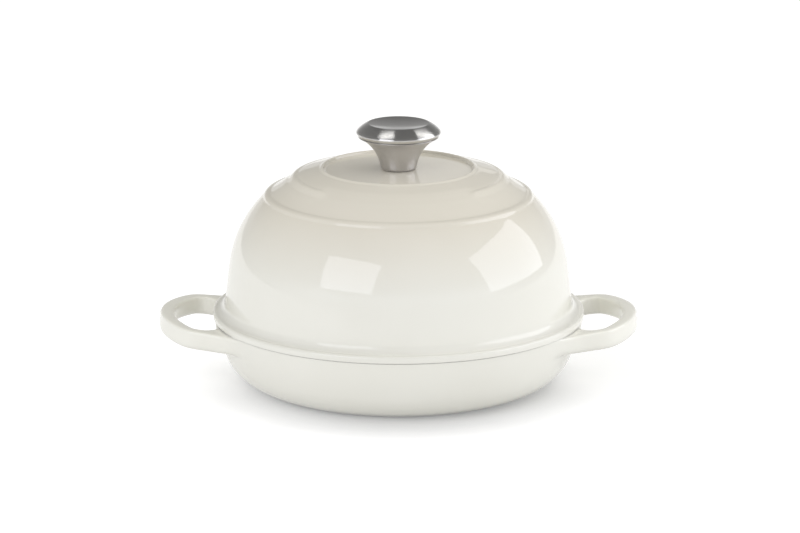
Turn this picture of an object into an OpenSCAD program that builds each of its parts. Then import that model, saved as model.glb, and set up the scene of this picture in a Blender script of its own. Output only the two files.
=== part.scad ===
// Bread cloche: a shallow cast dish with two loop handles, and a domed lid
// with a steel knob. Millimetres, +Z up, origin under the middle of the foot.
// The handles lie along X.

/* [Dish] */
// Outside diameter of the dish at its rim
rim_d = 246.6; // [244:0.2:247.6]
// Height of the dish from its foot to its rim
dish_h = 44.5; // [42:0.5:48]
// Thickness of the cast wall, in the dish and in the lid
wall = 4.5; // [3.5:0.1:5]
// Thickness of the dish's floor
floor_t = 5; // [4:0.5:6]
// Diameter of the foot that it stands on
foot_d = 186.8; // [184:0.2:188]
// Radius of the curve where the wall turns under to the foot
lower_curve_r = 30; // [29:0.5:31]

/* [Handles] */
// Length over both handles
over_handles = 321; // [315:1:330]
// Width of a handle's bar, seen from above
bar_w = 8.8; // [8:0.1:10]
// Height of a handle's bar, seen from the side
bar_h = 11; // [10:0.5:12]
// Distance between the centre lines of a handle's two arms
arm_gap = 91; // [86:1:96]
// Radius of the bar's long outer curve, at its centre line
tip_curve_r = 64; // [60:1:70]
// Radius of the bar's two corners, at their centre line
corner_r = 14; // [12:1:16]
// How far the handles rise outwards, in degrees
handle_rise = 6.5; // [4:0.5:8]

/* [Lid] */
// Outside diameter of the lid's flange
flange_d = 248; // [240:0.5:250]
// Thickness of the flange
flange_t = 4.8; // [4:0.1:6]
// Outside diameter of the dome just above the flange
dome_d = 231.8; // [231:0.1:232.4]
// Draft of the dome's wall, in degrees
wall_draft = 6.5; // [6:0.1:7]
// Radius of the dome's shoulder curve, seen from the side
shoulder_r = 75; // [74.4:0.1:75.4]
// Height of the centre of the shoulder curve, above the dish's rim
shoulder_h = 26.2; // [25.8:0.1:26.6]
// Height of the pad under the knob, above the dish's rim
disc_h = 100; // [99.8:0.1:100.4]
// Diameter of the hole for the knob's screw
knob_hole_d = 7; // [6.6:0.1:7.6]
// Part of the circle, at the front, where the middle ring is left out
plain_arc = 89; // [80:1:100]

/* [Knob] */
// Largest diameter of the knob
knob_d = 56.2; // [55.8:0.1:57]
// Thickness of the knob's steel sheet
sheet = 1.2; // [1:0.1:1.5]
// Depth of the dished top of the knob
top_dish = 1.3; // [1:0.1:1.6]
// Diameter of the screw's thread, drawn plain
thread_d = 6; // [5.8:0.1:6.2]
// Radial play between the screw and the thread it runs in
thread_play = 0.05; // [0.02:0.01:0.1]
// Length of thread in the knob that the screw reaches
thread_grip = 8.4; // [8.2:0.1:9]

/* [Hidden] */
$fn = 192;
eps = 0.01;
enamel = [0.90, 0.88, 0.82];
satin_steel = [0.70, 0.68, 0.66];
bright_steel = [0.80, 0.80, 0.80];
zinc_steel = [0.62, 0.64, 0.66];

// Points along an arc of the circle about [r, z]. Angles are in degrees,
// counted from straight down, and grow outwards.
function arc(centre, radius, from, to, steps) =
    [for (i = [0:steps])
        let (a = from + (to - from) * i / steps)
        [centre[0] + radius * sin(a), centre[1] - radius * cos(a)]];

// The angle at which a circle reaches a height, on the same scale as arc().
function angle_at(centre, radius, height) = acos(min(1, (centre[1] - height) / radius));

// A point at a distance r and a height h above the dish's rim.
function above_rim(points) = [for (p = points) [p[0], dish_h + p[1]]];

// The dish. Its wall is two curves that run into each other at turn_angle:
// one that starts just outside the foot, and a much flatter one to the rim.
rim_r = rim_d / 2;
foot_r = foot_d / 2;
foot_inset = 5.5;
foot_lift = 0.4;
foot_angle = 14;
turn_angle = 68;
rim_edge = 0.8;
lower_centre = [foot_r - foot_inset, lower_curve_r + foot_lift];
turn_point = arc(lower_centre, lower_curve_r, turn_angle, turn_angle, 1)[0];
to_rim = [rim_r, dish_h] - turn_point;
rim_turn = atan2(to_rim[1], to_rim[0]) - turn_angle;
upper_curve_r = norm(to_rim) / (2 * sin(rim_turn));
rim_angle = turn_angle + 2 * rim_turn;
upper_centre = turn_point + upper_curve_r * [-sin(turn_angle), cos(turn_angle)];

function dish_outside() = concat(
    [[foot_r, 0]],
    arc(lower_centre, lower_curve_r, foot_angle, turn_angle, 10),
    arc(upper_centre, upper_curve_r, turn_angle, rim_angle - 0.3, 6),
    [[rim_r - rim_edge, dish_h]]);

// The hollow of the dish, from its floor up past the rim.
function dish_inside() = let (
    floor_angle = angle_at(lower_centre, lower_curve_r - wall, floor_t),
    top_angle = angle_at(upper_centre, upper_curve_r - wall, dish_h)) concat(
    [[0, floor_t]],
    arc(lower_centre, lower_curve_r - wall, floor_angle, turn_angle, 10),
    arc(upper_centre, upper_curve_r - wall, turn_angle, top_angle, 6),
    [[rim_r - wall, dish_h + 10], [0, dish_h + 10]]);

module dish_hollow() {
    rotate_extrude() polygon(dish_inside());
}

// The handles. Each is one bar: two straight arms, two corners and a long
// outer curve, in plan. The corner and the outer curve touch at join_angle.
arm_y = arm_gap / 2;
tip_centre_x = over_handles / 2 - bar_w / 2 - tip_curve_r;
corner_y = arm_y - corner_r;
corner_x = tip_centre_x + sqrt(pow(tip_curve_r - corner_r, 2) - pow(corner_y, 2));
join_angle = atan2(corner_y, corner_x - tip_centre_x);
// Where the arms start, inside the thickness of the wall.
arm_root_x = 108;
// The bar's middle height where it leaves the wall, and that place.
bar_root_z = 37.1;
bar_root_x = 119;
bar_round = 3;
// Radii of the webs between an arm and the wall, inside and outside the loop.
inner_web_r = 15;
outer_web_r = 30;
web_h = bar_h - 2;

// The bar's section, with round edges, standing on the first axis.
module bar_section() {
    half_w = bar_w / 2 - bar_round;
    half_h = bar_h / 2 - bar_round;
    polygon([for (side = [[1, 1, 0], [-1, 1, 90], [-1, -1, 180], [1, -1, 270]])
        for (i = [0:4])
            let (a = side[2] + i * 22.5)
            [side[0] * half_w + bar_round * cos(a), side[1] * half_h + bar_round * sin(a)]]);
}

// A bent stretch of the bar, seen from above, from one angle to another.
module bar_bend(centre_x, centre_y, radius, from, to) {
    translate([centre_x, centre_y, 0])
        rotate([0, 0, from])
            rotate_extrude(angle = to - from)
                translate([radius, 0])
                    bar_section();
}

module bar_arm() {
    translate([arm_root_x, arm_y, 0])
        rotate([90, 0, 90])
            linear_extrude(corner_x - arm_root_x)
                bar_section();
}

// The web that fills the corner between an arm and the wall, seen from above.
// Its free edge is part of a circle that touches the arm and the wall.
module web(radius, side) {
    edge_y = arm_y + side * (bar_w / 2 - 1);
    circle_y = edge_y + side * radius;
    circle_x = sqrt(pow(rim_r - 2 + radius, 2) - pow(circle_y, 2));
    wall_share = (rim_r - 2) / (rim_r - 2 + radius);
    difference() {
        polygon([[arm_root_x, edge_y], [circle_x, edge_y], [circle_x, circle_y],
                 [circle_x * wall_share, circle_y * wall_share],
                 [circle_x * wall_share - 5, circle_y * wall_share]]);
        translate([circle_x, circle_y]) circle(radius);
    }
}

module handle_half() {
    bar_arm();
    bar_bend(corner_x, corner_y, corner_r, join_angle, 90);
    translate([0, 0, -web_h / 2])
        linear_extrude(web_h) {
            web(inner_web_r, -1);
            web(outer_web_r, 1);
        }
}

// One handle, on the +X side, tilted so that its outer end is the highest.
module handle() {
    translate([bar_root_x, 0, bar_root_z])
        rotate([0, -handle_rise, 0])
            translate([-bar_root_x, 0, 0]) {
                handle_half();
                mirror([0, 1, 0]) handle_half();
                bar_bend(tip_centre_x, 0, tip_curve_r, -join_angle, join_angle);
            }
}

module base_dish() {
    color(enamel)
        difference() {
            union() {
                rotate_extrude() polygon(concat([[0, 0]], dish_outside(), [[0, dish_h]]));
                handle();
                mirror([1, 0, 0]) handle();
            }
            dish_hollow();
        }
}

// The lid. Heights in this section are above the dish's rim, where the
// flange rests. Its lip hangs inside the rim and keeps the lid central.
flange_r = flange_d / 2;
dome_r = dome_d / 2;
flange_edge = 0.8;
flange_round = 2;
flange_cove = 5.8;
lip_r = rim_r - wall - 1;
lip_w = 4;
lip_drop = 2.5;
cove_top_h = flange_t + flange_cove;
shoulder_foot_h = shoulder_h + shoulder_r * sin(wall_draft);
shoulder_foot_r = dome_r - (shoulder_foot_h - cove_top_h) * tan(wall_draft);
shoulder_centre = [shoulder_foot_r - shoulder_r * cos(wall_draft), shoulder_h];
inner_r = shoulder_r - wall;
// The three rings, from the outside in. Each has a steep outer face, a round
// edge, and a level strip inside the edge.
shoulder_end = 134.7;
ring3 = [[90.7, 80.3], [89.8, 82.4], [89.2, 83.3], [88.2, 84], [85.6, 84.25], [84, 85.1]];
ring2 = [[74.9, 91.2], [73.7, 92], [72.4, 93.5], [71.2, 94.8], [69.6, 95.8], [68.6, 96.1], [66.6, 96.25]];
ring1 = [[56, 99.65], [54.3, 99.95], [53.2, 100.15], [52.3, 101], [51.5, 101.5], [50.7, 101.6],
         [50.1, 101.3], [49.7, 100.2]];
disc_r = 49.2;
disc_edge_h = 99.4;
pad_r = 16;
ceiling_h = 94.8;

function lid_outside() = concat(
    [[flange_r - flange_edge, 0], [flange_r, flange_edge]],
    arc([flange_r - flange_round, flange_t - flange_round], flange_round, 90, 180, 4),
    arc([dome_r + flange_cove, flange_t + flange_cove], -flange_cove, 180, 90, 6),
    arc(shoulder_centre, shoulder_r, 90 + wall_draft, shoulder_end, 14),
    ring3, ring2, ring1,
    [[disc_r, disc_edge_h], [pad_r, disc_h], [0, disc_h]]);

function lid_inside() = concat(
    [[0, ceiling_h], [54, ceiling_h], [68, 90.8]],
    arc(shoulder_centre, inner_r, 142, 90 + wall_draft, 12),
    [[dome_r - wall + 1.2, 0], [lip_r - lip_w, 0], [lip_r - lip_w + 0.5, -lip_drop],
     [lip_r - 0.5, -lip_drop], [lip_r, 0]]);

// What the middle ring has above the plain front of the lid.
module ring2_front() {
    rotate([0, 0, 270 - plain_arc / 2])
        rotate_extrude(angle = plain_arc)
            polygon(above_rim([[61, 98.2], [66, 96.2], [72, 93.1], [78, 89.3], [83, 85.8],
                               [83, 104], [61, 104]]));
}

module lid_dome() {
    color(enamel)
        difference() {
            rotate_extrude() polygon(above_rim(concat(lid_outside(), lid_inside())));
            ring2_front();
            translate([0, 0, dish_h + ceiling_h - 1])
                cylinder(d = knob_hole_d, h = disc_h - ceiling_h + 2);
        }
}

// The knob. Heights in this section are above the disc that it stands on.
knob_z = dish_h + disc_h;
knob_r = knob_d / 2;
parting_h = 22.4;
parting_r = 27;
knob_foot_r = 12.3;
foot_round = [[knob_foot_r - 1.9, 0], [knob_foot_r - 0.8, 0.5], [knob_foot_r - 0.2, 1.4], [knob_foot_r, 2.4]];
flare_r = 26.6;
flare_centre = [38.6, -1.7];
neck_angle = 258;
lip_angle = 215;
lip_inner_r = 24.9;
top_rim = [20.2, 31.2];
stem_floor = 1.5;
insert_r = 5.5;
insert_h = 14;
collar_r = 8.5;
collar_h = 2;

// The flare's outside, a curve that is hollow towards the hand. A larger
// radius about the same centre gives the inside of the sheet.
function flare(extra, from) = arc(flare_centre, flare_r + extra, from, lip_angle, 10);

// The hollow stem: pressed steel with a satin finish.
module knob_stem() {
    color(satin_steel)
        translate([0, 0, knob_z])
            rotate_extrude()
                difference() {
                    polygon(concat([[insert_r, 0]], foot_round, flare(0, neck_angle),
                        [[25.4, 21.2], [parting_r - 0.7, parting_h - 0.55], [parting_r, parting_h],
                         [insert_r, parting_h]]));
                    polygon(concat([[insert_r - eps, stem_floor], [knob_foot_r - 1.9, stem_floor]],
                        flare(sheet, neck_angle - 2),
                        [[lip_inner_r, parting_h + eps], [insert_r - eps, parting_h + eps]]));
                }
}

// The polished cap: a bevelled ring round a dished top, closing the stem.
module knob_cap() {
    bevel = [[knob_r - 0.35, 23.4], [knob_r, 24.6], [knob_r - 0.15, 25.6], [knob_r - 0.7, 26.6],
             [26.5, 27.6], [24.8, 28.7], [22.6, 30], [21.2, 30.8], top_rim];
    inner_bevel = [[20.6, 29.8], [22, 29], [24.2, 27.6], [25.9, 26.3], [26.4, 24.9], [25.9, 23.6]];
    dish_curve_r = (pow(top_rim[0] - 1, 2) + pow(top_dish, 2)) / (2 * top_dish);
    dish_half = asin((top_rim[0] - 1) / dish_curve_r);
    dish_centre = [0, top_rim[1] - top_dish + dish_curve_r];
    color(bright_steel)
        translate([0, 0, knob_z])
            rotate_extrude()
                polygon(concat([[lip_inner_r, parting_h], [parting_r, parting_h]], bevel,
                    arc(dish_centre, dish_curve_r, dish_half, 0, 8),
                    arc(dish_centre, dish_curve_r + sheet, 0, dish_half - 1, 6),
                    inner_bevel));
}

// The threaded bush inside the stem, let into the stem's floor.
module knob_insert() {
    color(zinc_steel)
        translate([0, 0, knob_z])
            difference() {
                union() {
                    cylinder(r = insert_r, h = insert_h);
                    translate([0, 0, stem_floor]) cylinder(r = collar_r, h = collar_h);
                }
                translate([0, 0, -1]) cylinder(d = thread_d, h = insert_h - 1);
            }
}

// The screw and its washer, put in from inside the dome.
washer_t = 1.2;
washer_d = 14;
washer_hole_d = 6.6;
head_d = 11.6;
head_h = 3.6;
head_z = dish_h + ceiling_h - washer_t;
slot_w = 1.6;
slot_depth = 1.6;

module screw_washer() {
    color(zinc_steel)
        translate([0, 0, head_z])
            difference() {
                cylinder(d = washer_d, h = washer_t);
                translate([0, 0, -1]) cylinder(d = washer_hole_d, h = washer_t + 2);
            }
}

// Its slot runs along X, across the domed face of the head.
module knob_screw() {
    head_edge = 1.2;
    color(zinc_steel)
        difference() {
            union() {
                translate([0, 0, head_z - eps])
                    cylinder(d = thread_d - 2 * thread_play, h = knob_z + thread_grip - head_z);
                translate([0, 0, head_z])
                    rotate_extrude()
                        polygon([[0, 0], [head_d / 2, 0], [head_d / 2, -head_h + head_edge],
                                 [head_d / 2 - head_edge, -head_h], [0, -head_h]]);
            }
            translate([-head_d, -slot_w / 2, head_z - head_h - 1])
                cube([2 * head_d, slot_w, slot_depth + 1]);
        }
}

base_dish();
lid_dome();
knob_stem();
knob_cap();
knob_insert();
knob_screw();
screw_washer();
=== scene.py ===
import math
import bmesh
import bpy
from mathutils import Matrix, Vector


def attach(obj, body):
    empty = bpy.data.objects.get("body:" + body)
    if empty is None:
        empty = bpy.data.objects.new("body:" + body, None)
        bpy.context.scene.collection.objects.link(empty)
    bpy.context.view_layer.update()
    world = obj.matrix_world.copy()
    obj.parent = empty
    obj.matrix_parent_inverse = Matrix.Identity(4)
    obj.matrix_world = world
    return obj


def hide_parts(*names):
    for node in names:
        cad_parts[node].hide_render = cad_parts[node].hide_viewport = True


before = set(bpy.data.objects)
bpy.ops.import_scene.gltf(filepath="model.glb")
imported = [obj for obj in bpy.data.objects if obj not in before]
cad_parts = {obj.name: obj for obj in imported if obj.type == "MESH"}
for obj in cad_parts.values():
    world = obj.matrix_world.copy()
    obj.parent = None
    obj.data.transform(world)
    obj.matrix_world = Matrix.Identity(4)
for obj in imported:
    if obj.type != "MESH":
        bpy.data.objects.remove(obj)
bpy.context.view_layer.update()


# The dish is one iron casting, with both loop handles cast on its wall.
# It is dipped in cream enamel. The hollow and the ground rim that the lid
# rests on are fired with matt black enamel instead.
MM = 0.001
DISH_COLUMNS = 48
FOOT_CURVE = (87.9, 30.4)
FOOT_CURVE_R = 30
WALL_CURVE = (-16.1, 72.4)
WALL_CURVE_R = 142.2
DISH_WALL = 4.5


def along(centre, radius, angles):
    """Points of a curve seen from the side, at angles from straight down."""
    turns = [math.radians(a) for a in angles]
    return [(centre[0] + radius * math.sin(t), centre[1] - radius * math.cos(t)) for t in turns]


def draw_profile(name, points):
    """A chain of vertices through (radius, height) points, in millimetres."""
    bpy.ops.object.select_all(action="DESELECT")
    bpy.ops.mesh.primitive_plane_add(size=MM, location=(points[0][0] * MM, 0, points[0][1] * MM))
    piece = bpy.context.active_object
    piece.name = piece.data.name = name
    bpy.ops.object.transform_apply(location=True, rotation=False, scale=False)
    bpy.ops.object.mode_set(mode="EDIT")
    bpy.ops.mesh.select_mode(type="VERT")
    bpy.ops.mesh.merge(type="CENTER")
    for (r0, h0), (r1, h1) in zip(points, points[1:]):
        step = ((r1 - r0) * MM, 0, (h1 - h0) * MM)
        bpy.ops.mesh.extrude_region_move(TRANSFORM_OT_translate={"value": step})
    return piece


def spin_profile(columns, angle=2 * math.pi):
    """Spins the chain about the upright axis and closes the seam and the poles."""
    bpy.ops.mesh.select_all(action="SELECT")
    bpy.ops.mesh.spin(steps=columns, angle=angle, center=(0, 0, 0), axis=(0, 0, -1))
    bpy.ops.mesh.select_all(action="SELECT")
    bpy.ops.mesh.remove_doubles(threshold=0.001 * MM)


def pick_vertices(piece, wanted):
    """Selects the vertices whose place, in millimetres, is wanted."""
    bpy.ops.mesh.select_mode(type="VERT")
    bpy.ops.mesh.select_all(action="DESELECT")
    shape = bmesh.from_edit_mesh(piece.data)
    for v in shape.verts:
        v.select_set(wanted(v.co / MM))
    shape.select_flush_mode()
    bmesh.update_edit_mesh(piece.data)


def pick_faces(piece, wanted):
    """Selects the faces whose middle, in millimetres, and normal are wanted."""
    bpy.ops.mesh.select_mode(type="FACE")
    bpy.ops.mesh.select_all(action="DESELECT")
    shape = bmesh.from_edit_mesh(piece.data)
    for face in shape.faces:
        face.select_set(wanted(face.calc_center_median() / MM, face.normal))
    shape.select_flush_mode()
    bmesh.update_edit_mesh(piece.data)


def from_axis(place):
    """Distance from the upright axis, and the angle about it from +X in degrees."""
    return math.hypot(place.x, place.y), math.degrees(math.atan2(place.y, place.x))


def give_modifier(piece, kind, **settings):
    """Adds a modifier and applies it at once."""
    bpy.ops.object.mode_set(mode="OBJECT")
    bpy.ops.object.modifier_add(type=kind)
    modifier = piece.modifiers[-1]
    for key, value in settings.items():
        setattr(modifier, key, value)
    bpy.ops.object.modifier_apply(modifier=modifier.name)


def smooth_out(piece, levels):
    """Points every face outwards and rounds the cage with subdivision."""
    bpy.ops.object.mode_set(mode="EDIT")
    bpy.ops.mesh.select_all(action="SELECT")
    bpy.ops.mesh.normals_make_consistent(inside=False)
    give_modifier(piece, "SUBSURF", levels=levels, render_levels=levels)
    bpy.ops.object.shade_smooth()


# A ring of cage points comes out a little smaller once it is subdivided.
spread = 3 / (2 + math.cos(2 * math.pi / DISH_COLUMNS))
outer_wall = (
    [(0, 0), (36, 0), (68, 0), (86, 0), (92.2, 0), (94, 0.6)]
    + along(FOOT_CURVE, FOOT_CURVE_R, (17, 27, 37, 47, 57, 66))
    + along(WALL_CURVE, WALL_CURVE_R, (69.8, 71.9, 73.2, 75.7, 77.6))
    + [(123.2, 43.9), (123.3, 44.25), (123.15, 44.47), (122.5, 44.5)]
)
inner_wall = (
    [(121, 44.5), (119.5, 44.5), (119, 44.35), (118.7, 43.7)]
    + along(WALL_CURVE, WALL_CURVE_R - DISH_WALL, (77.2, 75.2, 72.6, 69.6))
    + along(FOOT_CURVE, FOOT_CURVE_R - DISH_WALL, (64, 53, 42, 31, 20, 10))
    + [(89.5, 5), (84, 5), (68, 5), (36, 5), (0, 5)]
)
dish = draw_profile("base_dish_body", [(r * spread, h) for r, h in outer_wall + inner_wall])
spin_profile(DISH_COLUMNS // 4, math.pi / 2)

# The wall swells towards the inside corner of each arm before the arm starts.
arm_low, arm_high = 31.4, 42.9
root_start, root_end = 15, 30
swell = 2.3 * MM


def on_root(p, start, end):
    """True on the outside of the wall, as high as the arm, between two angles."""
    r, angle = from_axis(p)
    return arm_low < p.z < arm_high and r > 120 and start < angle < end


pick_vertices(dish, lambda p: on_root(p, root_start - 1, root_start + 1))
corner = math.radians(root_start)
bpy.ops.transform.translate(value=(swell * math.cos(corner), swell * math.sin(corner), 0))

# One arm is carried from the wall round to the middle of the loop. Each
# section is its centre, its heading in degrees and its width.
ARM_SECTIONS = [
    (119.1, 45.2, 24, 20.1),
    (124.85, 45.5, 19.5, 12.3),
    (130.95, 45.5, 0, 8.8),
    (137.1, 44.45, -25.5, 8.8),
    (141.95, 40.45, -51, 8.8),
    (149.7, 28.1, -64, 8.8),
    (154.55, 14.4, -77, 8.8),
    (156.1, 0, -90, 8.8),
]
arm_z = 37.1
root_r, root_angle, root_width = 122.6, 22.5, 32
root_turn = math.radians(root_angle)
root = (root_r * math.cos(root_turn), root_r * math.sin(root_turn), root_angle, root_width)


def turn_flat(angle, middle):
    """Turns the selection about an upright line, counter-clockwise from above."""
    bpy.ops.transform.rotate(value=-math.radians(angle), orient_axis="Z", center_override=middle)


pick_faces(dish, lambda p, n: on_root(p, root_start, root_end))
for old, new in zip([root] + ARM_SECTIONS, ARM_SECTIONS):
    middle = (old[0] * MM, old[1] * MM, arm_z * MM)
    bpy.ops.mesh.extrude_region_move()
    turn_flat(-old[2], middle)
    bpy.ops.transform.resize(value=(0, new[3] / old[3], 1), center_override=middle)
    turn_flat(new[2], middle)
    bpy.ops.transform.translate(value=((new[0] - old[0]) * MM, (new[1] - old[1]) * MM, 0))
bpy.ops.mesh.delete(type="ONLY_FACE")

# The loop rises outwards, from a line inside the wall.
handle_rise = math.radians(6.5)
rise_from = (119 * MM, 0, arm_z * MM)
pick_vertices(dish, lambda p: from_axis(p)[0] > 126)
bpy.ops.transform.rotate(value=handle_rise, orient_axis="Y", center_override=rise_from)
give_modifier(dish, "MIRROR", use_axis=(True, True, False), merge_threshold=0.01 * MM)
smooth_out(dish, 2)


def new_material(name):
    """An empty node material with its shader, its tree and its coordinates."""
    material = bpy.data.materials.new(name)
    material.use_nodes = True
    tree = material.node_tree
    place = tree.nodes.new("ShaderNodeTexCoord")
    return material, tree, tree.nodes["Principled BSDF"], place.outputs["Object"]


def add_noise(tree, place, scale, detail=3):
    """A noise pattern of so many cells a metre."""
    noise = tree.nodes.new("ShaderNodeTexNoise")
    noise.inputs["Scale"].default_value = scale
    noise.inputs["Detail"].default_value = detail
    tree.links.new(place, noise.inputs["Vector"])
    return noise.outputs["Fac"]


def add_ramp(tree, value, stops):
    """Turns a value into a colour, by stops of (position, colour)."""
    ramp = tree.nodes.new("ShaderNodeValToRGB")
    elements = ramp.color_ramp.elements
    while len(elements) < len(stops):
        elements.new(0.5)
    for element, (position, colour) in zip(elements, stops):
        element.position = position
        element.color = (*colour, 1)
    tree.links.new(value, ramp.inputs["Fac"])
    return ramp.outputs["Color"]


def add_range(tree, value, low, high, start=0.3, end=0.7):
    """Spreads a value between two numbers."""
    spread_out = tree.nodes.new("ShaderNodeMapRange")
    spread_out.inputs["From Min"].default_value = start
    spread_out.inputs["From Max"].default_value = end
    spread_out.inputs["To Min"].default_value = low
    spread_out.inputs["To Max"].default_value = high
    tree.links.new(value, spread_out.inputs["Value"])
    return spread_out.outputs["Result"]


def add_bump(tree, value, depth, before=None):
    """A relief of a given depth in metres, on top of another one."""
    bump = tree.nodes.new("ShaderNodeBump")
    bump.inputs["Strength"].default_value = 1
    bump.inputs["Distance"].default_value = depth
    tree.links.new(value, bump.inputs["Height"])
    if before is not None:
        tree.links.new(before, bump.inputs["Normal"])
    return bump.outputs["Normal"]


def mix_colours(tree, share, first, second):
    """Blends two colours, each of them an output or three numbers."""
    blend = tree.nodes.new("ShaderNodeMix")
    blend.data_type = "RGBA"
    tree.links.new(share, blend.inputs["Factor"])
    for socket, colour in ((blend.inputs["A"], first), (blend.inputs["B"], second)):
        if isinstance(colour, tuple):
            socket.default_value = (*colour, 1)
        else:
            tree.links.new(colour, socket)
    return blend.outputs["Result"]


def add_maths(tree, operation, first, second):
    """The sum or product of two outputs."""
    maths = tree.nodes.new("ShaderNodeMath")
    maths.operation = operation
    tree.links.new(first, maths.inputs[0])
    tree.links.new(second, maths.inputs[1])
    return maths.outputs["Value"]


# Cream enamel is a glass fired onto the iron. It has a faint ripple, and a
# little more or less colour where it is thicker. The top of the lid is painted
# darker and warmer: painted shade.
cream, tree, shader, place = new_material("cream_enamel")
shade = add_noise(tree, place, 14, 2)
height = tree.nodes.new("ShaderNodeSeparateXYZ")
tree.links.new(place, height.inputs["Vector"])
# Painted light: a lit copy of the cream, lighter and cooler, lower down, and a shaded copy, darker and
# warmer, high up, blended by height.
lit_lower_cream = add_ramp(tree, shade, [(0.3, (0.775, 0.763, 0.69)), (0.7, (0.8, 0.789, 0.72))])
shaded_top_cream = add_ramp(tree, shade, [(0.3, (0.698, 0.662, 0.568)), (0.7, (0.722, 0.685, 0.594))])
top_shade_share = add_range(tree, height.outputs["Z"], 0, 1, 0.085, 0.125)
tree.links.new(mix_colours(tree, top_shade_share, lit_lower_cream, shaded_top_cream), shader.inputs["Base Color"])
tree.links.new(add_range(tree, add_noise(tree, place, 60), 0.03, 0.06), shader.inputs["Roughness"])
ripple = add_bump(tree, add_noise(tree, place, 110, 1), 0.00002)
tree.links.new(add_bump(tree, add_noise(tree, place, 900, 2), 0.000001, ripple), shader.inputs["Normal"])
shader.inputs["IOR"].default_value = 1.52

# Black enamel is matt and slightly rough to the touch.
black, tree, shader, place = new_material("black_enamel")
grain = add_noise(tree, place, 1500, 4)
black_shades = [(0.3, (0.011, 0.011, 0.012)), (0.7, (0.018, 0.018, 0.019))]
tree.links.new(add_ramp(tree, add_noise(tree, place, 25), black_shades), shader.inputs["Base Color"])
tree.links.new(add_range(tree, grain, 0.42, 0.62), shader.inputs["Roughness"])
tree.links.new(add_bump(tree, grain, 0.00003), shader.inputs["Normal"])


def enamel(piece, is_black):
    """Cream all over, then black on the faces that are picked."""
    piece.data.materials.append(cream)
    piece.data.materials.append(black)
    bpy.ops.object.mode_set(mode="EDIT")
    pick_faces(piece, is_black)
    piece.active_material_index = 1
    bpy.ops.object.material_slot_assign()
    bpy.ops.object.mode_set(mode="OBJECT")


def dish_is_black(p, n):
    """The hollow, and the rim as far as its outer edge."""
    r = from_axis(p)[0]
    outwards = (n.x * p.x + n.y * p.y) / max(r, 1)
    on_rim = p.z > 44.42 and r < 122.7
    return on_rim or (r < 119.5 and p.z > 4.9 and (n.z > 0.3 or outwards < 0))


enamel(dish, dish_is_black)
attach(dish, "dish")
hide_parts("base_dish")


# The lid is the second iron casting: a tall dome with three stepped rings
# round its recessed middle, a flange and a lip underneath. It has the same
# two enamels.
RIM = 44.5
LID_COLUMNS = 144
DOME_CURVE = (38.6, 26.2)
DOME_CURVE_R = 75.1
COVE_CURVE = (121.7, 10.6)
COVE_CURVE_R = 5.9
LID_WALL = 4.5
middle = [
    (3.5, 95.2), (3.5, 99.6), (3.9, 100), (8, 100), (15, 100), (17, 99.98), (30, 99.75), (42, 99.55),
    (46.2, 99.5),
]
inner_ring = [
    (48, 99.5), (49, 99.62), (49.45, 100), (49.6, 100.7), (49.85, 101.35), (50.4, 101.7), (51.1, 101.65),
    (51.8, 101.3), (52.3, 100.85), (52.9, 100.5), (53.8, 100.35), (55.2, 99.95), (57.5, 99.3), (60.3, 98.5),
    (63, 97.75),
]
middle_ring = [
    (65.2, 97.1), (66.2, 96.75), (67, 96.4), (67.8, 96.3), (68.9, 96.15), (69.7, 95.9), (70.4, 95.45),
    (71.1, 94.85), (71.9, 94.05), (72.7, 93.2), (73.5, 92.4), (74.5, 91.8), (76, 90.8),
]
outer_ring = [
    (78.2, 89.1), (80.6, 87.45), (82.8, 85.95), (84.2, 85.05), (85, 84.6), (85.8, 84.42), (86.8, 84.25),
    (87.7, 83.98), (88.4, 83.65), (89, 83.2), (89.4, 82.65), (89.6, 81.95), (89.85, 81.25), (90.5, 80.6),
    (91.7, 79.45),
]
dome_outside = (
    along(DOME_CURVE, DOME_CURVE_R, (133.4, 131.4, 128, 123.5, 118.5, 113.5, 108.5, 103.5, 98.5))
    + [(113.4, 33), (114.1, 27)]
)
flange = (
    [(114.85, 20.5), (115.35, 16), (115.72, 12.8)]
    + along(COVE_CURVE, COVE_CURVE_R, (-85, -68, -50, -32, -14))
    + [(121.6, 4.74), (122.6, 4.84), (123.5, 4.5), (124, 3.7), (124.06, 2.6), (124.06, 1.2), (124, 0.4)]
    + [(123.75, 0.06), (122.8, 0), (121, 0), (119.2, 0)]
)
lip = [
    (118, 0), (117.75, -0.25), (117.6, -1.2), (117.3, -2.2), (116.9, -2.5), (115.8, -2.5), (114.8, -2.5),
    (114.4, -2.2), (114.05, -1.2), (113.8, -0.25), (113.4, 0), (112.9, 0), (112.6, 0.2), (112.45, 0.7),
]
dome_inside = (
    [(112.2, 3), (111.7, 8), (110.6, 17.5), (109.6, 26)]
    + along(DOME_CURVE, DOME_CURVE_R - LID_WALL, (98, 102, 109, 116, 123, 130, 136, 140.5))
    + [(75.5, 87.2), (68.5, 90.8), (62, 93), (56, 94.4), (51, 94.8), (40, 94.8), (25, 94.8), (12, 94.8)]
    + [(5, 94.8), (3.9, 94.8), (3.5, 95.2)]
)
lid_profile = middle + inner_ring + middle_ring + outer_ring + dome_outside + flange + lip + dome_inside
lid = draw_profile("lid_dome_body", [(r, RIM + h) for r, h in lid_profile])
spin_profile(LID_COLUMNS)

# At the front the middle ring gives way to a plain slope. Its ends are round:
# the groove and the foot stop a step before the crest does.
PLAIN_SLOPE = [(60.3, 98.5), (66, 96.3), (72, 93.1), (78.2, 89.1)]
CREST_R = 70.2
CREST_HALF_WIDTH = 4.8
plain_end = 43
round_end = 46


def slope_height(r):
    """Height of the plain slope at a distance from the axis."""
    for (r0, h0), (r1, h1) in zip(PLAIN_SLOPE, PLAIN_SLOPE[1:]):
        if r <= r1:
            return h0 + (h1 - h0) * (r - r0) / (r1 - r0)


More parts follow.
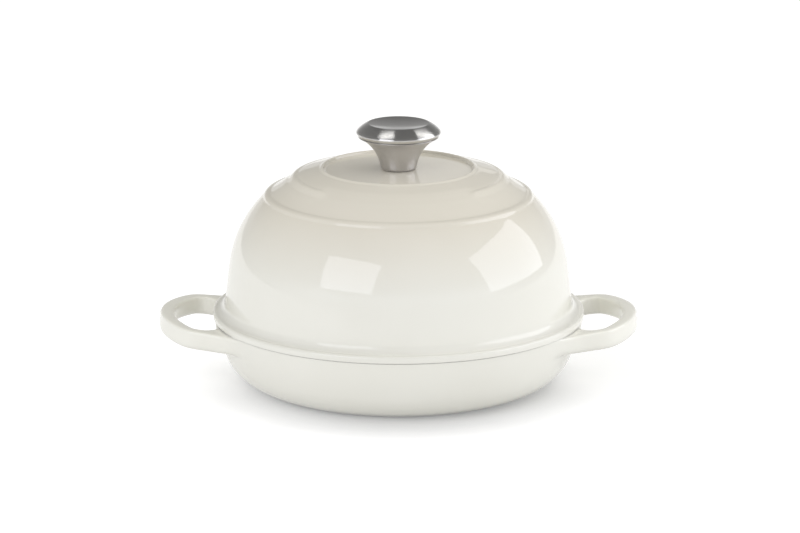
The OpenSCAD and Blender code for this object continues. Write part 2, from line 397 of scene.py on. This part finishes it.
def in_front(p, ring_r, ring_h, low, high):
    """True on one ring of points, between two angles either side of the front."""
    r, angle = from_axis(p)
    aside = abs(angle + 90) if angle < 90 else abs(angle - 270)
    return abs(r - ring_r) < 0.05 and abs(p.z - RIM - ring_h) < 0.05 and low <= aside < high


for ring_r, ring_h in middle_ring:
    drop = slope_height(ring_r) - ring_h
    crest = 1 - ((ring_r - CREST_R) / CREST_HALF_WIDTH) ** 2
    for low, high, share in ((0, plain_end, 1), (plain_end, round_end, 1 - 0.75 * max(crest, 0))):
        pick_vertices(lid, lambda p: in_front(p, ring_r, ring_h, low, high))
        bpy.ops.transform.translate(value=(0, 0, drop * share * MM))
smooth_out(lid, 1)


def lid_is_black(p, n):
    """The inside of the dome, the lip, and the flange's resting face."""
    r, h = from_axis(p)[0], p.z - RIM
    outwards = (n.x * p.x + n.y * p.y) / max(r, 1)
    return (r < 118.2 and h < 0.05) or (r < 113 and outwards < 0 and h < 90 and r > 60) or n.z < -0.5


enamel(lid, lid_is_black)
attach(lid, "lid")
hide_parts("lid_dome")


# The knob's stem is a hollow steel pressing that flares from a narrow foot.
# It has a satin finish, left by fine blasting over turning grooves.
KNOB = 144.5
KNOB_COLUMNS = 48
FLARE = (38.6, -1.7)
FLARE_R = 26.6
STEM_SHEET = 1.2


def turned(name, profile):
    """A piece turned on the lathe, with its heights above the lid's middle."""
    piece = draw_profile(name, [(r, KNOB + h) for r, h in profile])
    spin_profile(KNOB_COLUMNS)
    smooth_out(piece, 2)
    return piece


def blur_across_grooves(tree, shader, amount):
    """Smears reflections upright, across the grooves that run round the knob."""
    grooves = tree.nodes.new("ShaderNodeTangent")
    grooves.direction_type = "RADIAL"
    grooves.axis = "Z"
    tree.links.new(grooves.outputs["Tangent"], shader.inputs["Tangent"])
    shader.inputs["Anisotropic"].default_value = amount
    shader.inputs["Anisotropic Rotation"].default_value = 0.25


stem = turned("knob_stem_body", (
    [(5.55, 0.4), (5.55, 0.1), (5.9, 0), (8, 0), (10, 0.02), (11.15, 0.35), (11.95, 1.15), (12.3, 2.4)]
    + along(FLARE, FLARE_R, (256, 251, 245, 239, 233, 227, 221, 217))
    + [(24, 20.45), (25.2, 21.1), (26, 21.5), (26.6, 21.8), (26.9, 22.1), (26.85, 22.35), (26.4, 22.42)]
    + [(25.6, 22.42), (25.2, 22.35), (24.85, 22.1)]
    + along(FLARE, FLARE_R + STEM_SHEET, (217, 225, 235, 245, 254))
    + [(10.6, 1.8), (9.4, 1.5), (6.2, 1.5), (5.6, 1.45), (5.55, 1.1), (5.55, 0.4)]
))
satin, tree, shader, place = new_material("satin_steel")
shader.inputs["Metallic"].default_value = 1
blasting = add_noise(tree, place, 4000, 2)
satin_shades = [(0.3, (0.6, 0.585, 0.575)), (0.7, (0.64, 0.625, 0.615))]
tree.links.new(add_ramp(tree, add_noise(tree, place, 90), satin_shades), shader.inputs["Base Color"])
tree.links.new(add_range(tree, blasting, 0.26, 0.33), shader.inputs["Roughness"])
blur_across_grooves(tree, shader, 0.85)
tree.links.new(add_bump(tree, blasting, 0.000002), shader.inputs["Normal"])
stem.data.materials.append(satin)
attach(stem, "knob")
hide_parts("knob_stem")


# The knob's cap is a thicker pressing: a bevel round a dished top. It is
# polished with fine turning grooves, and crimped over the stem's lip.
cap = turned("knob_cap_body", [
    (0, 29.9), (5, 29.98), (10, 30.22), (14, 30.55), (17, 30.87), (18.6, 31.06), (19.4, 31.16),
    (19.95, 31.25), (20.35, 31.25), (20.75, 31.1), (21.5, 30.82), (22.5, 30.33), (23.7, 29.6),
    (24.95, 28.75), (26.1, 27.82), (27.1, 26.9), (27.75, 26.15), (28.12, 25.5), (28.25, 24.95),
    (28.15, 24.5), (27.8, 23.8), (27.1, 22.95), (26.5, 22.5), (25.9, 22.46), (25.5, 22.6), (25.5, 23.1),
    (26, 24), (25.9, 25), (25, 26.4), (23.2, 28), (21.2, 29), (18.5, 29.6), (14, 29.35), (10, 29.05),
    (5, 28.78), (0, 28.7),
])
bright, tree, shader, place = new_material("bright_steel")
shader.inputs["Metallic"].default_value = 1
shader.inputs["Base Color"].default_value = (0.67, 0.66, 0.64, 1)
flat = tree.nodes.new("ShaderNodeVectorMath")
flat.operation = "MULTIPLY"
flat.inputs[1].default_value = (1, 1, 0)
radius = tree.nodes.new("ShaderNodeVectorMath")
radius.operation = "LENGTH"
tree.links.new(place, flat.inputs[0])
tree.links.new(flat.outputs["Vector"], radius.inputs[0])
turning = tree.nodes.new("ShaderNodeTexNoise")
turning.noise_dimensions = "1D"
turning.inputs["Scale"].default_value = 3500
turning.inputs["Detail"].default_value = 2
tree.links.new(radius.outputs["Value"], turning.inputs["W"])
grooves = add_range(tree, turning.outputs["Fac"], -0.02, 0.03)
# The dished top has a finer polish than the bevel, which starts at 20 mm.
polish = add_range(tree, radius.outputs["Value"], 0.1, 0.22, 0.0198, 0.0206)
tree.links.new(add_maths(tree, "ADD", grooves, polish), shader.inputs["Roughness"])
blur_across_grooves(tree, shader, 1)
cap.data.materials.append(bright)
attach(cap, "knob")
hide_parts("knob_cap")


# The threaded bush is a turned steel part, let into the stem's floor by its
# collar. The screw from inside the dome runs in its bore.
insert = turned("knob_insert_body", [
    (3.3, 0.05), (3.8, 0), (5, 0), (5.35, 0.1), (5.45, 0.4), (5.45, 1.2), (5.6, 1.55), (7.6, 1.55),
    (8.3, 1.6), (8.5, 1.9), (8.5, 3.1), (8.3, 3.42), (7.6, 3.5), (5.8, 3.5), (5.5, 3.65), (5.5, 4.5),
    (5.5, 12.8), (5.4, 13.8), (4.9, 14), (3, 14), (0, 14), (0, 13), (2.6, 13), (3, 12.8), (3, 12), (3, 4),
    (3, 0.9), (3.05, 0.4), (3.3, 0.05),
])
plated, tree, shader, place = new_material("plated_steel")
shader.inputs["Metallic"].default_value = 1
zinc_shades = [(0.3, (0.5, 0.51, 0.53)), (0.7, (0.6, 0.61, 0.62))]
tree.links.new(add_ramp(tree, add_noise(tree, place, 160), zinc_shades), shader.inputs["Base Color"])
tree.links.new(add_range(tree, add_noise(tree, place, 700), 0.25, 0.4), shader.inputs["Roughness"])
tree.links.new(add_bump(tree, add_noise(tree, place, 2500, 2), 0.000003), shader.inputs["Normal"])
insert.data.materials.append(plated)
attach(insert, "knob")
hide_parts("knob_insert")


# The screw is a plated steel one with a slotted round head, put in from
# inside the dome. Its shank is drawn plain, as the bush's bore is.
UNDER_HEAD = 138.1
HEAD_HEIGHT = 3.6
HEAD = UNDER_HEAD - KNOB
SLOT_SIZE = (14 * MM, 1.6 * MM, 3.2 * MM)
screw = turned("knob_screw_body", [
    (0, HEAD - HEAD_HEIGHT), (2, HEAD - 3.58), (3.8, HEAD - 3.4), (4.9, HEAD - 2.9), (5.5, HEAD - 2.1),
    (5.75, HEAD - 1.1), (5.8, HEAD - 0.4), (5.75, HEAD - 0.1), (5.4, HEAD), (3.4, HEAD), (2.95, HEAD + 0.1),
    (2.95, HEAD + 0.6), (2.95, HEAD + 4), (2.95, 4), (2.95, 7.4), (2.8, 7.9), (2.2, 8.35), (1.2, 8.4),
    (0, 8.4),
])
head_end = (0, 0, (UNDER_HEAD - HEAD_HEIGHT) * MM)
bpy.ops.mesh.primitive_cube_add(size=1, location=head_end, scale=SLOT_SIZE)
slot_cutter = bpy.context.active_object
bpy.ops.object.select_all(action="DESELECT")
screw.select_set(True)
bpy.context.view_layer.objects.active = screw
give_modifier(screw, "BOOLEAN", operation="DIFFERENCE", solver="EXACT", object=slot_cutter)
bpy.data.objects.remove(slot_cutter)
bpy.ops.object.shade_smooth_by_angle(angle=math.radians(35))
screw.data.materials.append(plated)
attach(screw, "screw")
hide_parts("knob_screw")


# The washer is a flat one of plated steel, stamped out and tumbled. It is
# loose under the screw's head and spreads its pull over the enamel.
washer = turned("screw_washer_body", [
    (3.3, HEAD + 0.5), (3.3, HEAD + 0.1), (3.5, HEAD), (4, HEAD), (6.6, HEAD), (6.95, HEAD + 0.12),
    (7, HEAD + 0.6), (6.95, HEAD + 1.08), (6.6, HEAD + 1.2), (4, HEAD + 1.2), (3.5, HEAD + 1.2),
    (3.3, HEAD + 1.1), (3.3, HEAD + 0.5),
])
washer.data.materials.append(plated)
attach(washer, "screw")
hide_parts("screw_washer")


# The studio has a white table top, a large soft box on the left and one on
# the right, small ones that light or are mirrored in some of the pieces only,
# and pale surroundings that darken overhead.
bpy.ops.object.select_all(action="DESELECT")
bpy.ops.mesh.primitive_plane_add(size=12, location=(0, 0, -0.0001))
table_top = bpy.context.active_object
table_top.name = "table_top"
paper, tree, shader, place = new_material("white_paper")
shader.inputs["Roughness"].default_value = 1
shader.inputs["Specular IOR Level"].default_value = 0


def seen_directly(tree):
    """1 where the camera sees something, also in metal or glass, and 1 where by itself."""
    rays = tree.nodes.new("ShaderNodeLightPath")
    total = rays.outputs["Is Camera Ray"]
    for other in ("Is Glossy Ray", "Is Transmission Ray"):
        total = add_maths(tree, "ADD", total, rays.outputs[other])
        total.node.use_clamp = True
    return total, rays.outputs["Is Camera Ray"]


# The table has a light of its own where it is seen, so that the ground is white.
# That light fades where the table is closed in under the dish: a painted shadow, on top of the dish's real
# one.
seen, by_camera = seen_directly(tree)
tint = mix_colours(tree, seen, (0.95, 0.95, 0.95), (0.62, 0.62, 0.62))
tree.links.new(tint, shader.inputs["Base Color"])
# Openness is measured leaning back, so that the painted shadow is deepest in front.
openness = tree.nodes.new("ShaderNodeAmbientOcclusion")
openness.inputs["Distance"].default_value = 0.05
leaning_back = tree.nodes.new("ShaderNodeCombineXYZ")
leaning_back.inputs["Y"].default_value = 0.8
leaning_back.inputs["Z"].default_value = 0.6
tree.links.new(leaning_back.outputs["Vector"], openness.inputs["Normal"])
# Painted shadow: the glow is dimmed by how closed in the table is.
painted_shadow_glow = add_range(tree, openness.outputs["AO"], 0.21, 0.58, 0.2, 0.72)
tree.links.new(add_maths(tree, "MULTIPLY", seen, painted_shadow_glow), shader.inputs["Emission Strength"])
shader.inputs["Emission Color"].default_value = (1, 1, 1, 1)
table_top.data.materials.append(paper)

world = bpy.data.worlds.new("studio")
bpy.context.scene.world = world
world.use_nodes = True
tree = world.node_tree
background = tree.nodes["Background"]
direction = tree.nodes.new("ShaderNodeTexCoord")
split = tree.nodes.new("ShaderNodeSeparateXYZ")
tree.links.new(direction.outputs["Generated"], split.inputs["Vector"])


def grey(*levels):
    """Stops of plain grey, from pairs of position and brightness."""
    return [(position, (level, level, level)) for position, level in levels]


def surroundings(front, back, start, end):
    """Brightness by height, blended from the front of the studio to its back."""
    backwards = add_range(tree, split.outputs["Y"], 0, 1, start, end)
    before = add_ramp(tree, split.outputs["Z"], front)
    behind = add_ramp(tree, split.outputs["Z"], back)
    return mix_colours(tree, backwards, before, behind)


# What lights the pieces: pale all round, brighter to the sides.
lighting = surroundings(
    [(0, (1.22, 1.27, 1.36)), (0.4, (0.6, 0.6, 0.59)), (1, (0.76, 0.745, 0.71))],
    [(0, (0.98, 1.01, 1.06)), (0.4, (0.7, 0.7, 0.69)), (1, (0.76, 0.745, 0.71))],
    -0.3, 0.7,
)
brighter_sides = tree.nodes.new("ShaderNodeMix")
brighter_sides.data_type = "RGBA"
brighter_sides.blend_type = "MULTIPLY"
brighter_sides.inputs["Factor"].default_value = 1
across = add_range(tree, split.outputs["X"], 0, 1, -1, 1)
tree.links.new(lighting, brighter_sides.inputs["A"])
tree.links.new(add_ramp(tree, across, grey((0, 1.25), (0.5, 0.865), (1, 1.25))), brighter_sides.inputs["B"])

# What is mirrored in them: white low down, dark overhead and to the sides.
mirrored = surroundings(
    [(0, (1, 1, 1)), (0.1, (0.95, 0.97, 1)), *grey((0.24, 0.3), (1, 0.17))],
    grey((0, 0.7), (0.11, 0.68), (0.14, 0.34), (0.3, 0.28), (0.5, 0.18), (1, 0.17)),
    -0.6, 0.3,
)
aside = add_ramp(tree, across, grey((0, 1), (0.2, 1), (0.33, 0), (0.67, 0), (0.8, 1), (1, 1)))
past_the_front = add_range(tree, split.outputs["Y"], 0, 1, -0.5, 0.1)
sides = add_ramp(tree, split.outputs["Z"], grey((0, 0.42), (0.2, 0.27), (1, 0.17)))
mirrored = mix_colours(tree, add_maths(tree, "MULTIPLY", aside, past_the_front), mirrored, sides)

# The camera itself sees plain white.
seen, by_camera = seen_directly(tree)
around = mix_colours(tree, seen, brighter_sides.outputs["Result"], mirrored)
tree.links.new(mix_colours(tree, by_camera, around, (1, 1, 1)), background.inputs["Color"])


BOX_DISTANCE = 1.5


def soft_box(name, azimuth, elevation, width, height, power, colour=(1, 1, 1), lit=(), mirrored_only=False):
    """A soft box aimed at the lid, from the front at azimuth 0, the right at 90."""
    a, e = math.radians(azimuth), math.radians(elevation)
    aim = Vector((0, 0, 0.1))
    out = Vector((math.sin(a) * math.cos(e), -math.cos(a) * math.cos(e), math.sin(e)))
    lamp = bpy.data.lights.new(name, "AREA")
    lamp.shape = "RECTANGLE"
    lamp.size, lamp.size_y = width, height
    lamp.energy = power
    lamp.color = colour
    box = bpy.data.objects.new(name, lamp)
    box.location = aim + out * BOX_DISTANCE
    box.rotation_euler = (-out).to_track_quat("-Z", "Y").to_euler()
    box.visible_camera = False
    box.visible_diffuse = not mirrored_only
    bpy.context.scene.collection.objects.link(box)
    if lit:
        receivers = bpy.data.collections.new(name + "_lights")
        for piece in lit:
            receivers.objects.link(piece)
        box.light_linking.receiver_collection = receivers


# The right box lights the pieces alone, so that it throws no shadow on the table.
all_pieces = (dish, lid, stem, cap, insert, screw, washer)
soft_box("left_soft_box", -35, 25, 0.96, 0.8, 5.1, (0.97, 0.98, 1.08))
soft_box("right_soft_box", 88, 21.7, 1.53, 0.97, 9.8, (0.97, 0.98, 1.06), lit=all_pieces)

# A small box behind is mirrored in the lid's flat middle, right of the knob.
soft_box("back_box", 174.5, 16.8, 0.3, 0.35, 0.14, (1, 0.98, 0.94), lit=(lid,), mirrored_only=True)

# One high in front fills in the tops of the handles.
soft_box("top_box", 0, 58, 1, 1, 3.6, (1, 1, 0.98), lit=(dish,))

# Two boxes overhead are there for the gloss of the knob alone.
soft_box("high_left_box", -86, 72, 0.54, 0.62, 2.1, lit=(stem, cap), mirrored_only=True)
soft_box("high_right_box", 114, 45, 0.45, 1, 2.8, lit=(stem, cap), mirrored_only=True)

# The camera stands three metres in front, a little above, with a long lens.
camera = bpy.data.objects.new("camera", bpy.data.cameras.new("camera"))
bpy.context.scene.collection.objects.link(camera)
camera.data.lens = 202.1
camera.data.sensor_width = 36
camera.data.clip_start, camera.data.clip_end = 0.1, 30
camera.location = (0.001, -2.903, 0.8336)
aim = Vector((0.001, 0, 0.0774))
camera.rotation_euler = (aim - camera.location).to_track_quat("-Z", "Y").to_euler()
bpy.context.scene.camera = camera
bpy.context.scene.view_settings.view_transform = "Standard"
